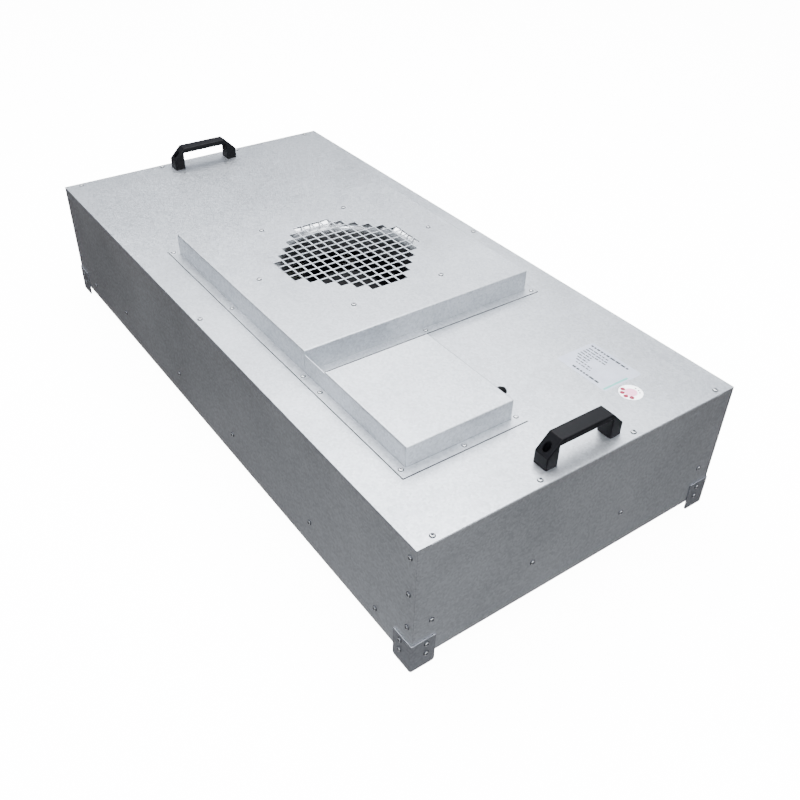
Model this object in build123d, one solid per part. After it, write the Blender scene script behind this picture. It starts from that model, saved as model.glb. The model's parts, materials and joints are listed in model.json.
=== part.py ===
from build123d import *
import os
from math import cos, radians, sin

# A ceiling fan filter unit: a folded steel casing that stands on four corner brackets, an inlet
# cowl with a punched grille on top, a backward-curved fan under it and a pleated filter below.
# Millimetres, Z up. The origin is the middle of the footprint, at the brackets' feet.

# Casing
casing_length = 1175.0
casing_width = 575.0
casing_bottom = 18.0
casing_top = 227.0
sheet = 1.2
bend = 2.2
wall_fold = 20.0
notch_gap = 1.0

# Corner brackets
bracket_leg = 40.0
bracket_height = 52.0
bracket_sheet = 2.0
bracket_corner = 5.0
bracket_screw_inset = 23.0
bracket_screw_rise = 6.0
bracket_screw_drop = 9.0

# Inlet cowl and its grille of square holes
cowl_side = 428.0
cowl_height = 38.0
cowl_flange = 15.0
grille_rows = 14
grille_pitch = 18.0
grille_hole = 15.4

# Inlet nozzle, hung under the cowl
nozzle_screw_radius = 170.0
nozzle_rim = 12.0
nozzle_screw_count = 6
throat_radius = 113.0
mouth_radius = 20.0
nozzle_depth = 58.0
fan_opening_radius = 195.0

# Impeller
impeller_radius = 177.5
impeller_sheet = 1.5
running_gap = 3.3
shroud_overlap = 8.0
shroud_drop = 18.0
shroud_cone_drop = 16.0
shroud_bend = 20.0
blade_count = 7
blade_thickness = 2.0
blade_root_radius = 92.0
blade_sweep = 56.0
back_plate_hole = 56.0

# External-rotor motor
rotor_radius = 58.0
rotor_wall = 4.0
rotor_height = 74.5
rotor_flange = 12.0
rotor_flange_sheet = 2.0
air_gap = 0.7
shaft_radius = 6.0
shaft_clearance = 0.05
bearing_end_gap = 0.5
stator_foot_radius = 62.0
stator_foot_height = 6.0
stator_neck_radius = 46.0
motor_screw_radius = 55.0
motor_bolt_count = 4
rotor_rivet_count = 6

# Folded bridge that carries the motor
bridge_sheet = 1.5
bridge_width = 410.0
bridge_height = 34.0
bridge_foot = 20.0
impeller_floor_gap = 14.5

# Filter and the rails that it seals against
seat_rise = 56.0
rail_sheet = 1.5
rail_seat = 25.0
rail_leg = 20.0
gasket_thickness = 5.0
gasket_width = 15.0
filter_side_gap = 7.5
filter_depth = 50.0
frame_wall = 1.5
frame_lip = 14.0
pleat_pitch = 20.0
pleat_depth = 7.0
clip_width = 30.0
clip_sheet = 1.5
clip_lip = 18.0
clip_inset = 82.5

# Bridge handles
handle_inset = 30.5
handle_width = 25.0
handle_length = 138.0
handle_height = 42.5
handle_bar = 10.0
handle_leg = 21.0
handle_shoulder = 20.0
handle_rounding = 2.0
handle_hole_inset = 9.0
handle_seat = 6.0
handle_recess_radius = 5.5
handle_bolt_radius = 2.5
handle_bolt_clearance = 0.3
handle_bolt_head = 4.4
handle_bolt_head_height = 5.0
handle_socket_radius = 2.2

# Wiring cover beside the cowl
cover_gap = 54.0
cover_length = 196.0
cover_width = 180.0
cover_height = 34.0
butt_gap = 0.5
gland_inset = 40.0
gland_thread_radius = 7.0
gland_thread_gap = 0.3
gland_thread_length = 10.0
gland_nut_radius = 10.5
gland_nut_height = 6.0
gland_dome_height = 13.0
gland_dome_taper = 6.0
gland_bore_radius = 3.5
grommet_neck_radius = 9.0
grommet_lip = 3.0
grommet_bore = 5.5
capacitor_radius = 14.0
capacitor_length = 62.0
capacitor_inset = 50.0
capacitor_from_back = 30.0
terminal_pitch = 10.0
terminal_ways = 6
terminal_depth = 22.0
terminal_height = 18.0
terminal_well = 3.0
terminal_wall = 2.0
terminal_from_front = 40.0
lead_radius = 3.0
lead_sides = 8
lead_bend = 9.0
lead_slope_start = 20.0
lead_slope_end = 25.0

# Fasteners
head_radius = 3.6
head_height = 2.2
head_sides = 8
head_taper = 28.0
rivet_radius = 3.3
rivet_height = 1.6
edge_screw_inset = 10.0
corner_screw_inset = 11.5
end_screw_inset = 30.25
end_screw_count = 4
corner_screw_drops = (21.0, 86.0, 148.0)
side_screw_insets = (249.5, 487.5)

# Sizes and places that follow from the ones above
half_length = casing_length / 2
half_width = casing_width / 2
filter_length = casing_length - 2 * filter_side_gap
filter_width = casing_width - 2 * filter_side_gap
seat_height = casing_bottom + seat_rise
panel_underside = casing_top - sheet
notch = wall_fold + notch_gap
inner_half_width = half_width - sheet
inner_half_length = half_length - sheet
cowl_top = casing_top + cowl_height
cowl_half = cowl_side / 2
cowl_underside = cowl_top - sheet
nozzle_rim_radius = nozzle_screw_radius + nozzle_rim
nozzle_bottom = cowl_underside - nozzle_depth
rail_top = seat_height + rail_sheet
bridge_top = rail_top + bridge_height
back_plate_bottom = bridge_top + impeller_floor_gap
back_plate_top = back_plate_bottom + impeller_sheet
rotor_top = back_plate_top + rotor_height
shroud_radius = throat_radius + sheet + running_gap
shroud_top = nozzle_bottom + shroud_overlap
shroud_bend_height = shroud_top - shroud_drop
shroud_tip_height = shroud_bend_height - shroud_cone_drop
filter_top = seat_height - gasket_thickness
filter_bottom = filter_top - filter_depth
clip_offset = half_length - clip_inset
handle_offset = half_length - handle_inset
handle_hole_offset = handle_length / 2 - handle_hole_inset
cover_left = cowl_half + cover_gap
cover_right = cover_left + cover_length
cover_front = -cowl_half
cover_back = cover_front + cover_width
cover_middle = (cover_front + cover_back) / 2
cover_centre = (cover_left + cover_right) / 2
gland_x = cover_right - gland_inset
gland_height = casing_top + cover_height / 2
terminal_y = cover_front + terminal_from_front


# A sheet-metal section: the points are its outer face, rounded at each bend.
def folded(points, radius, thickness, side=Side.LEFT):
    outer_face = FilletPolyline(*points, radius=radius)
    return make_face(offset(outer_face, amount=thickness, side=side))


def box_between(low, high):
    size = [b - a for a, b in zip(low, high)]
    middle = [(a + b) / 2 for a, b in zip(low, high)]
    return Pos(*middle) * Box(*size)


def mirrored(part, plane):
    return mirror(part, about=plane)


def ring_of_places(radius, count, start=0.0):
    step = 360.0 / count
    angles = [radians(start + step * i) for i in range(count)]
    return [(radius * cos(a), radius * sin(a)) for a in angles]


# Small screw and rivet heads are tapered octagons: the seat is at the origin and the crown along +Z.
def heads(places, radius=head_radius, height=head_height):
    head = extrude(RegularPolygon(radius, head_sides), amount=height, taper=head_taper)
    return Compound(children=[place * head for place in places])


facing_up = Rot(0, 0, 0)
facing_front = Rot(90, 0, 0)
facing_back = Rot(-90, 0, 0)
facing_right = Rot(0, 90, 0)
facing_left = Rot(0, -90, 0)


# ---- Casing ----

def top_panel():
    low = (-half_length, -half_width, panel_underside)
    high = (half_length, half_width, casing_top)
    plate = box_between(low, high)
    opening = Pos(0, 0, panel_underside) * Cylinder(fan_opening_radius, 4 * sheet)
    wire_hole = Pos(cover_centre, cover_middle, panel_underside) * Cylinder(grommet_neck_radius, 4 * sheet)
    return plate - opening - wire_hole


# Long wall: a flat web with its upper edge folded in under the top panel, notched at both ends.
def long_wall():
    section = folded(
        [(-half_width + wall_fold, panel_underside),
         (-half_width, panel_underside),
         (-half_width, casing_bottom)],
        bend, sheet)
    middle = half_length - notch
    wall = Pos(-middle, 0, 0) * extrude(Plane.YZ * section, amount=2 * middle, dir=(1, 0, 0))
    for low, high in ((-half_length, -middle), (middle, half_length)):
        wall += box_between(
            (low, -half_width, casing_bottom), (high, -half_width + sheet, panel_underside))
    return wall


# Short wall: the same top fold, and upright folds that the long walls lap and screw to.
def end_wall():
    section = folded(
        [(half_length - wall_fold, panel_underside),
         (half_length, panel_underside),
         (half_length, casing_bottom)],
        bend, sheet, Side.RIGHT)
    middle = half_width - notch
    wall = Pos(0, -middle, 0) * extrude(Plane.XZ * section, amount=2 * middle, dir=(0, 1, 0))
    upright = folded(
        [(half_length - wall_fold, -inner_half_width),
         (half_length, -inner_half_width),
         (half_length, -middle)],
        bend, sheet)
    upright = extrude(upright, amount=panel_underside - casing_bottom, dir=(0, 0, 1))
    upright = Pos(0, 0, casing_bottom) * upright
    return wall + upright + mirrored(upright, Plane.XZ)


# Corner bracket for the +X -Y corner, folded round the outside of the casing.
def corner_bracket():
    x, y = half_length + bracket_sheet, -half_width - bracket_sheet
    outline = folded([(x - bracket_leg, y), (x, y), (x, y + bracket_leg)], bracket_sheet + 1, bracket_sheet)
    bracket = extrude(outline, amount=bracket_height, dir=(0, 0, 1))
    bracket -= box_between((0, -half_width, -1), (half_length, 0, bracket_height + 1))
    feet = bracket.edges().filter_by(lambda e: e.center().Z < 0.01)
    across = [e for e in feet if abs(e.length - bracket_sheet) < 0.01]
    return fillet(across, bracket_corner)


# ---- Inlet ----

# A folded hood with an outward flange, open below; its seat is at z = casing_top.
def hood(low, high, height, flange):
    base = casing_top
    block = box_between((low[0], low[1], base), (high[0], high[1], base + height))
    block = fillet(block.edges().filter_by(lambda e: e.center().Z > base + 1), bend)
    inner = box_between(
        (low[0] + sheet, low[1] + sheet, base - 1), (high[0] - sheet, high[1] - sheet, base + height - sheet))
    foot = box_between(
        (low[0] - flange, low[1] - flange, base), (high[0] + flange, high[1] + flange, base + sheet))
    return block + foot - inner


# Rows shorten towards the front and back, so the field of holes is a stepped octagon.
def grille_field():
    field = []
    half_rows = grille_rows // 2
    for row in range(half_rows):
        holes = min(grille_rows, grille_rows + 2 - 2 * row)
        y = (row + 0.5) * grille_pitch
        for i in range(holes):
            x = (i - (holes - 1) / 2) * grille_pitch
            field += [Pos(x, y), Pos(x, -y)]
    return field


def inlet_cowl():
    cowl = hood((-cowl_half, -cowl_half), (cowl_half, cowl_half), cowl_height, cowl_flange)
    holes = Sketch() + [place * Rectangle(grille_hole, grille_hole) for place in grille_field()]
    punch = Pos(0, 0, cowl_top - 2 * sheet) * extrude(holes, amount=4 * sheet)
    return cowl - punch


# Spun bell mouth: a flat rim, a quarter-round mouth and a short throat.
def inlet_nozzle():
    section = folded(
        [(nozzle_rim_radius, cowl_underside),
         (throat_radius, cowl_underside),
         (throat_radius, nozzle_bottom)],
        mouth_radius, sheet)
    return revolve(Plane.XZ * section, Axis.Z)


# ---- Fan ----

# The shroud's air side runs down from the inlet ring and out along a shallow cone.
def shroud_line():
    return FilletPolyline(
        (shroud_radius, shroud_top),
        (shroud_radius, shroud_bend_height),
        (impeller_radius, shroud_tip_height),
        radius=shroud_bend)


def impeller():
    skin = make_face(offset(shroud_line(), amount=impeller_sheet, side=Side.LEFT))
    shroud = revolve(Plane.XZ * skin, Axis.Z)
    plate = Pos(0, 0, (back_plate_bottom + back_plate_top) / 2) * Cylinder(impeller_radius, impeller_sheet)
    hole = Pos(0, 0, back_plate_bottom) * Cylinder(back_plate_hole, 4 * impeller_sheet)
    blades = blade_ring() & blade_envelope()
    return plate - hole + shroud + blades


# The space that a blade fills in section, half a sheet into the plate and the shroud.
def blade_envelope():
    tuck = impeller_sheet / 2
    upper = Pos(0, tuck) * shroud_line()
    lower = back_plate_top - tuck
    rest = Polyline(
        (impeller_radius, shroud_tip_height + tuck), (impeller_radius, lower), (blade_root_radius, lower),
        (shroud_radius, shroud_top + tuck))
    space = make_face(upper.edges() + rest.edges())
    below_nozzle = Rectangle(4 * impeller_radius, 2 * impeller_radius, align=(Align.CENTER, Align.MAX))
    below_nozzle = Pos(0, nozzle_bottom - running_gap) * below_nozzle
    return revolve(Plane.XZ * (space & below_nozzle), Axis.Z)


# Backward-curved blades, each one arc from the hub to the rim.
def blade_ring():
    ends = []
    for share in (0.0, 0.5, 1.0):
        radius = blade_root_radius + (impeller_radius + 2 - blade_root_radius) * share
        angle = radians(-blade_sweep * share ** 0.85)
        ends.append((radius * cos(angle), radius * sin(angle)))
    plan = make_face(offset(ThreePointArc(*ends), amount=blade_thickness, side=Side.LEFT))
    blade = Pos(0, 0, back_plate_bottom) * extrude(plan, amount=shroud_top - back_plate_bottom, dir=(0, 0, 1))
    turns = [Rot(0, 0, 360.0 * i / blade_count) for i in range(blade_count)]
    return Part() + [turn * blade for turn in turns]


# A turned cup whose shaft hangs from its crown; the foot flange sits on the impeller's back plate.
def motor_rotor():
    foot = back_plate_top
    inside = rotor_radius - rotor_wall
    crown = rotor_top - rotor_wall
    rim = rotor_radius + rotor_flange
    flange_top = foot + rotor_flange_sheet
    shaft_end = bridge_top + stator_foot_height / 2
    corner = FilletPolyline(
        (0, rotor_top), (rotor_radius, rotor_top), (rotor_radius, flange_top), radius=2 * rotor_wall)
    rest = Polyline(
        (rotor_radius, flange_top), (rim, flange_top), (rim, foot), (inside, foot), (inside, crown),
        (shaft_radius, crown), (shaft_radius, shaft_end), (0, shaft_end), (0, rotor_top))
    return revolve(Plane.XZ * make_face(corner.edges() + rest.edges()), Axis.Z)


def motor_stator():
    core_radius = rotor_radius - rotor_wall - air_gap
    core_top = rotor_top - rotor_wall - bearing_end_gap
    foot_top = bridge_top + stator_foot_height
    bore = shaft_radius + shaft_clearance
    outline = Polyline(
        (bore, bridge_top), (stator_foot_radius, bridge_top), (stator_foot_radius, foot_top),
        (stator_neck_radius, foot_top), (stator_neck_radius, back_plate_top),
        (core_radius, back_plate_top + rotor_wall), (core_radius, core_top), (bore, core_top), close=True)
    return revolve(Plane.XZ * make_face(outline), Axis.Z)


# A hat section across the casing; its feet stand on the long seat rails.
def motor_bridge():
    half = bridge_width / 2
    inner = bridge_top - bridge_sheet
    section = folded(
        [(-half - bridge_foot, rail_top), (-half + bridge_sheet, rail_top), (-half + bridge_sheet, inner),
         (half - bridge_sheet, inner), (half - bridge_sheet, rail_top), (half + bridge_foot, rail_top)],
        bend - sheet, bridge_sheet)
    reach = inner_half_width - 2 * rail_sheet
    return Pos(0, -reach, 0) * extrude(Plane.XZ * section, amount=2 * reach, dir=(0, 1, 0))


# ---- Filter ----

# Long rail: an angle with its upright leg down the wall.
def long_rail():
    section = folded(
        [(-inner_half_width + rail_seat, rail_top), (-inner_half_width, rail_top),
         (-inner_half_width, rail_top - rail_leg)], bend, rail_sheet)
    reach = inner_half_length - rail_seat - notch_gap
    return Pos(-reach, 0, 0) * extrude(Plane.YZ * section, amount=2 * reach, dir=(1, 0, 0))


# End rail: the same angle with its upright leg turned up.
def end_rail():
    section = folded(
        [(inner_half_length - rail_seat, seat_height), (inner_half_length, seat_height),
         (inner_half_length, seat_height + rail_leg)], bend, rail_sheet)
    reach = inner_half_width - sheet - notch_gap
    return Pos(0, -reach, 0) * extrude(Plane.XZ * section, amount=2 * reach, dir=(0, 1, 0))


def flat_ring(length, width, ring_width, low, high):
    outer = box_between((-length / 2, -width / 2, low), (length / 2, width / 2, high))
    inner = Box(length - 2 * ring_width, width - 2 * ring_width, 4 * (high - low) + 10)
    return outer - Pos(0, 0, (low + high) / 2) * inner


def filter_gasket():
    return flat_ring(filter_length, filter_width, gasket_width, filter_top, seat_height)


# Channel frame: its lips hold the pack top and bottom.
def filter_frame():
    frame = flat_ring(filter_length, filter_width, frame_lip, filter_bottom, filter_top)
    inside = 2 * frame_wall
    channel = Box(filter_length - inside, filter_width - inside, filter_depth - inside)
    return frame - Pos(0, 0, (filter_bottom + filter_top) / 2) * channel


# One pleated pack: the folds run across the short side.
def filter_media():
    half = filter_length / 2 - frame_wall
    low = filter_bottom + frame_wall
    high = filter_top - frame_wall
    pleats = int(2 * (half - frame_lip) / pleat_pitch)
    start = -pleats * pleat_pitch / 2
    lower = [(-half, low)]
    for i in range(pleats):
        x = start + i * pleat_pitch
        lower += [(x, low), (x + pleat_pitch / 2, low + pleat_depth)]
    lower += [(start + pleats * pleat_pitch, low), (half, low)]
    upper = [(x, low + high - z) for x, z in reversed(lower)]
    section = make_face(Polyline(*lower, *upper, close=True))
    reach = filter_width / 2 - frame_wall
    return Pos(0, -reach, 0) * extrude(Plane.XZ * section, amount=2 * reach, dir=(0, 1, 0))


# Four small angles hook the filter frame from below and screw to the long walls.
def filter_clips():
    low = filter_bottom - clip_sheet
    high = rail_top - rail_leg - notch_gap
    section = folded(
        [(-inner_half_width + clip_lip, low), (-inner_half_width, low), (-inner_half_width, high)],
        bend, clip_sheet, Side.RIGHT)
    clip = Pos(-clip_width / 2, 0, 0) * extrude(Plane.YZ * section, amount=clip_width, dir=(1, 0, 0))
    pair = [Pos(x, 0, 0) * clip for x in (-clip_offset, clip_offset)]
    return Compound(children=pair + [mirrored(c, Plane.XZ) for c in pair])


# ---- Handles ----

# Moulded bridge handle along Y: sloped shoulders, square finger gap, counterbored feet.
def handle():
    half = handle_length / 2
    slope = handle_height - handle_shoulder
    inner = half - handle_leg
    under = handle_height - handle_bar
    side = Polyline(
        (-half, 0), (-half, handle_shoulder), (-half + slope, handle_height),
        (half - slope, handle_height), (half, handle_shoulder), (half, 0),
        (inner, 0), (inner, under), (-inner, under), (-inner, 0), close=True)
    body = extrude(Plane.YZ * make_face(side), amount=handle_width, dir=(1, 0, 0))
    body = Pos(-handle_width / 2, 0, 0) * body
    rims = body.edges().filter_by(Plane.YZ).filter_by(lambda e: e.center().Z > 1)
    body = fillet(rims, handle_rounding)
    for y in (-handle_hole_offset, handle_hole_offset):
        recess = Cylinder(handle_recess_radius, handle_height, align=(Align.CENTER, Align.CENTER, Align.MIN))
        body -= Pos(0, y, handle_seat) * recess
        body -= Pos(0, y, 0) * Cylinder(handle_bolt_radius + handle_bolt_clearance, 4 * handle_seat)
    return Pos(handle_offset, 0, casing_top) * body


# Socket-head bolts down through the feet, standing on the counterbore floors.
def handle_bolts():
    head = Cylinder(handle_bolt_head, handle_bolt_head_height, align=(Align.CENTER, Align.CENTER, Align.MIN))
    socket = extrude(RegularPolygon(handle_socket_radius, 6), amount=handle_bolt_head_height)
    bolt = Pos(0, 0, handle_seat) * (head - Pos(0, 0, handle_bolt_head_height / 2) * socket)
    feet = [(sx * handle_offset, sy * handle_hole_offset) for sx in (-1, 1) for sy in (-1, 1)]
    return Compound(children=[Pos(px, py, casing_top) * bolt for px, py in feet])


# ---- Wiring ----

# A shallow hood; its front wall runs on to the cowl and closes the wire gap between the two.
def wiring_cover():
    cover = hood((cover_left, cover_front), (cover_right, cover_back), cover_height, cowl_flange)
    butt = cowl_half + cowl_flange + butt_gap
    apron = box_between(
        (cowl_half + butt_gap, cover_front, casing_top + sheet + butt_gap),
        (cover_left + bend, cover_front + sheet, casing_top + cover_height - bend))
    flange_top = casing_top + sheet
    skirt = box_between(
        (butt, cover_front, casing_top), (cover_left, cover_front + sheet, flange_top + bend))
    foot = box_between(
        (butt, cover_front - cowl_flange, casing_top), (cover_left, cover_front, flange_top))
    gland_hole = Rot(90, 0, 0) * Cylinder(gland_thread_radius, 4 * sheet)
    gland_hole = Pos(gland_x, cover_back, gland_height) * gland_hole
    return cover + apron + skirt + foot - gland_hole


# Cable gland through the cover's back wall: hexagon, domed nut and an empty bore.
def cable_gland():
    tip = gland_nut_height + gland_dome_height
    shoulder = gland_nut_radius * 0.8
    hexagon = extrude(RegularPolygon(gland_nut_radius, 6), amount=gland_nut_height)
    dome_line = Polyline(
        (0, gland_nut_height), (shoulder, gland_nut_height), (shoulder, tip - gland_dome_taper),
        (gland_bore_radius + 2, tip), (0, tip), close=True)
    dome = revolve(Plane.XZ * make_face(dome_line), Axis.Z)
    thread = Pos(0, 0, -gland_thread_length / 2)
    thread *= Cylinder(gland_thread_radius - gland_thread_gap, gland_thread_length)
    bore = Cylinder(gland_bore_radius, 4 * tip)
    return Pos(gland_x, cover_back, gland_height) * Rot(-90, 0, 0) * (hexagon + dome + thread - bore)


# Rubber grommet in the top panel where the motor's lead comes up into the cover.
def wire_grommet():
    lip_radius = grommet_neck_radius + grommet_lip
    outline = Polyline(
        (grommet_bore, -grommet_lip), (lip_radius, -grommet_lip), (lip_radius, 0), (grommet_neck_radius, 0),
        (grommet_neck_radius, sheet), (lip_radius, sheet), (lip_radius, sheet + grommet_lip),
        (grommet_bore, sheet + grommet_lip), close=True)
    grommet = revolve(Plane.XZ * make_face(outline), Axis.Z)
    return Pos(cover_centre, cover_middle, panel_underside) * grommet


def run_capacitor():
    body = Rot(0, 90, 0) * Cylinder(capacitor_radius, capacitor_length)
    saddle = Pos(0, 0, -capacitor_radius / 2) * Box(20, 2 * capacitor_radius, capacitor_radius)
    strap = saddle - Rot(0, 90, 0) * Cylinder(capacitor_radius - 1, 40)
    place = Pos(cover_left + capacitor_inset, cover_back - capacitor_from_back, casing_top + capacitor_radius)
    return place * (body + strap)


def terminal_block():
    length = terminal_pitch * terminal_ways
    block = Box(length, terminal_depth, terminal_height, align=(Align.CENTER, Align.CENTER, Align.MIN))
    for i in range(terminal_ways):
        x = (i - (terminal_ways - 1) / 2) * terminal_pitch
        well = Box(terminal_pitch - terminal_wall, terminal_depth / 2, 2 * terminal_well)
        block -= Pos(x, 0, terminal_height) * well
    return Pos(cover_centre, terminal_y, casing_top) * block


# The motor's lead: out along the bridge, up through the grommet and into the terminal block.
def motor_lead():
    reach = (cover_centre ** 2 + cover_middle ** 2) ** 0.5
    along = (cover_centre / reach, cover_middle / reach)
    low = bridge_top + lead_radius
    high = casing_top + terminal_height - 2 * lead_radius
    start = stator_foot_radius + notch_gap
    leave = impeller_radius + lead_slope_start
    path = FilletPolyline(
        (start * along[0], start * along[1], low),
        (leave * along[0], leave * along[1], low),
        (cover_centre, cover_middle, panel_underside - lead_slope_end),
        (cover_centre, cover_middle, high),
        (cover_centre, terminal_y + terminal_depth / 2, high),
        radius=lead_bend)
    section = Plane(origin=path @ 0, z_dir=path % 0) * RegularPolygon(lead_radius, lead_sides)
    return sweep(section, path=path)


# ---- Fasteners ----

# The short sides' screws, evenly spaced between the corners.
def end_rows():
    reach = half_width - end_screw_inset
    spacing = 2 * reach / (end_screw_count - 1)
    return [-reach + spacing * i for i in range(end_screw_count)]


def top_screws():
    x = half_length - edge_screw_inset
    y = half_width - edge_screw_inset
    points = [(sx * x, row) for sx in (-1, 1) for row in end_rows()] + [(0, -y), (0, y)]
    return heads([Pos(px, py, casing_top) * facing_up for px, py in points])


def on_long_walls(points):
    front = [Pos(x, -half_width, z) * facing_front for x, z in points]
    back = [Pos(x, half_width, z) * facing_back for x, z in points]
    return front + back


def on_end_walls(points):
    right = [Pos(half_length, y, z) * facing_right for y, z in points]
    left = [Pos(-half_length, y, z) * facing_left for y, z in points]
    return right + left


# Up the lapped corners, along the seat rails and at the filter clips.
def wall_screws():
    corner_x = half_length - corner_screw_inset
    rail_height = rail_top - rail_leg / 2
    clip_height = (filter_bottom + filter_top) / 2
    long_points = []
    for side in (-1, 1):
        long_points += [(side * corner_x, casing_top - drop) for drop in corner_screw_drops]
        long_points += [(side * (half_length - inset), rail_height) for inset in side_screw_insets]
        long_points += [(side * clip_offset, clip_height)]
    end_points = [(row, seat_height + rail_leg / 2) for row in end_rows()]
    return heads(on_long_walls(long_points) + on_end_walls(end_points))


def bracket_screws():
    levels = (casing_bottom + bracket_screw_rise, bracket_height - bracket_screw_drop)
    x = half_length - bracket_screw_inset
    y = half_width - bracket_screw_inset
    places = []
    for z in levels:
        for sx in (-1, 1):
            places.append(Pos(sx * x, -half_width - bracket_sheet, z) * facing_front)
            places.append(Pos(sx * x, half_width + bracket_sheet, z) * facing_back)
        for sy in (-1, 1):
            places.append(Pos(half_length + bracket_sheet, sy * y, z) * facing_right)
            places.append(Pos(-half_length - bracket_sheet, sy * y, z) * facing_left)
    return heads(places)


def cowl_rivets():
    r = cowl_half + cowl_flange / 2
    points = [(x, y) for x in (-r, 0, r) for y in (-r, 0, r) if (x, y) != (0, 0)]
    return heads([Pos(x, y, casing_top + sheet) for x, y in points], rivet_radius, rivet_height)


def cover_rivets():
    front = cover_front - cowl_flange / 2
    back = cover_back + cowl_flange / 2
    right = cover_right + cowl_flange / 2
    points = [(x, y) for x in (cover_left, cover_right) for y in (front, back)]
    points.append((right, cover_middle))
    return heads([Pos(x, y, casing_top + sheet) for x, y in points], rivet_radius, rivet_height)


def nozzle_screws():
    points = ring_of_places(nozzle_screw_radius, nozzle_screw_count, 30.0)
    return heads([Pos(x, y, cowl_top) for x, y in points])


def motor_screws():
    points = ring_of_places(motor_screw_radius, motor_bolt_count, 45.0)
    return heads([Pos(x, y, bridge_top + stator_foot_height) for x, y in points], 5.0, 3.5)


def rotor_rivets():
    radius = rotor_radius + rotor_flange / 2
    points = ring_of_places(radius, rotor_rivet_count)
    level = back_plate_top + rotor_flange_sheet
    return heads([Pos(x, y, level) for x, y in points], rivet_radius, rivet_height)


def bridge_screws():
    x = bridge_width / 2 + bridge_foot / 2
    y = inner_half_width - rail_seat / 2
    points = [(sx * x, sy * y) for sx in (-1, 1) for sy in (-1, 1)]
    return heads([Pos(px, py, rail_top + bridge_sheet) for px, py in points])


def build():
    front_wall = long_wall()
    right_wall = end_wall()
    bracket = corner_bracket()
    front_rail = long_rail()
    right_rail = end_rail()
    right_handle = handle()
    return {
        "top_panel": top_panel(),
        "front_wall": front_wall,
        "back_wall": mirrored(front_wall, Plane.XZ),
        "right_wall": right_wall,
        "left_wall": mirrored(right_wall, Plane.YZ),
        "corner_bracket_front_right": bracket,
        "corner_bracket_front_left": mirrored(bracket, Plane.YZ),
        "corner_bracket_back_right": mirrored(bracket, Plane.XZ),
        "corner_bracket_back_left": Rot(0, 0, 180) * bracket,
        "inlet_cowl": inlet_cowl(),
        "inlet_nozzle": inlet_nozzle(),
        "impeller": impeller(),
        "motor_rotor": motor_rotor(),
        "motor_stator": motor_stator(),
        "motor_bridge": motor_bridge(),
        "seat_rail_front": front_rail,
        "seat_rail_back": mirrored(front_rail, Plane.XZ),
        "seat_rail_right": right_rail,
        "seat_rail_left": mirrored(right_rail, Plane.YZ),
        "filter_gasket": filter_gasket(),
        "filter_frame": filter_frame(),
        "filter_media": filter_media(),
        "filter_clips": filter_clips(),
        "handle_right": right_handle,
        "handle_left": mirrored(right_handle, Plane.YZ),
        "handle_bolts": handle_bolts(),
        "wiring_cover": wiring_cover(),
        "cable_gland": cable_gland(),
        "wire_grommet": wire_grommet(),
        "run_capacitor": run_capacitor(),
        "terminal_block": terminal_block(),
        "motor_lead": motor_lead(),
        "top_screws": top_screws(),
        "wall_screws": wall_screws(),
        "bracket_screws": bracket_screws(),
        "cowl_rivets": cowl_rivets(),
        "cover_rivets": cover_rivets(),
        "nozzle_screws": nozzle_screws(),
        "motor_screws": motor_screws(),
        "rotor_rivets": rotor_rivets(),
        "bridge_screws": bridge_screws(),
    }


os.makedirs("parts", exist_ok=True)
for name, part in build().items():
    export_step(part, f"parts/{name}.step")
    print(name, round(part.volume / 1000, 1), "cm3")
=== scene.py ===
import json
from math import cos, pi, radians, sin
from random import Random

import bmesh
import bpy
from mathutils import Matrix, Vector


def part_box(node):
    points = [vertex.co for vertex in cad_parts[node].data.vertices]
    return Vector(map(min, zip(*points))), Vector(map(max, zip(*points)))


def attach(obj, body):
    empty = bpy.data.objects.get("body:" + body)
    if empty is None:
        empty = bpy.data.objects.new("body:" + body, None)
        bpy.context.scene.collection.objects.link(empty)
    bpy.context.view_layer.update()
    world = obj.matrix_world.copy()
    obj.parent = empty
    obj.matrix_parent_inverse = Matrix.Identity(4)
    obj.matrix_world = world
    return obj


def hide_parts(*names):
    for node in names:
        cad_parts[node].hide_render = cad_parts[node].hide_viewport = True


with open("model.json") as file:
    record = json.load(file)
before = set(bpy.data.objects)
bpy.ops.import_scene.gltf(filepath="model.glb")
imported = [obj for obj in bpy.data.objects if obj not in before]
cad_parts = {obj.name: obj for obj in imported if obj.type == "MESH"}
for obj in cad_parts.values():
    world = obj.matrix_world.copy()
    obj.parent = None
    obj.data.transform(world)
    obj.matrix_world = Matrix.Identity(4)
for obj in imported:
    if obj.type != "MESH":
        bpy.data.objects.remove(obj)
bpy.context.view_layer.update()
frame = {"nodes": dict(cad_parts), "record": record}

nodes = frame["nodes"]
mm = 0.001
print("frame loaded:", len(nodes), "nodes")


def linear(hexColour):
    channels = [int(hexColour[i:i + 2], 16) / 255 for i in (1, 3, 5)]
    return [c / 12.92 if c <= 0.04045 else ((c + 0.055) / 1.055) ** 2.4 for c in channels] + [1.0]


# a pattern that repeats every so many millimetres, as a texture scale in metres
def per(millimetres):
    return 1000.0 / millimetres


def connect(tree, node, links):
    for name, source in links.items():
        tree.links.new(source, node.inputs[name])


# one node with its settings, values, links and colour stops; a new ramp already has two stops
def addNode(tree, kind, values=None, links=None, stops=(), **settings):
    node = tree.nodes.new(kind)
    for name, value in settings.items():
        setattr(node, name, value)
    for name, value in (values or {}).items():
        node.inputs[name].default_value = value
    connect(tree, node, links or {})
    for i, (position, colour) in enumerate(stops):
        ramp = node.color_ramp.elements
        stop = ramp[i] if i < 2 else ramp.new(position)
        stop.position = position
        stop.color = linear(colour)
    return node


# noise keeps mostly to the middle of its range, so its colours are spread over that part alone
def darkToLight(look):
    return ((0.3, look["dark"]), (0.7, look["light"]))


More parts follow.
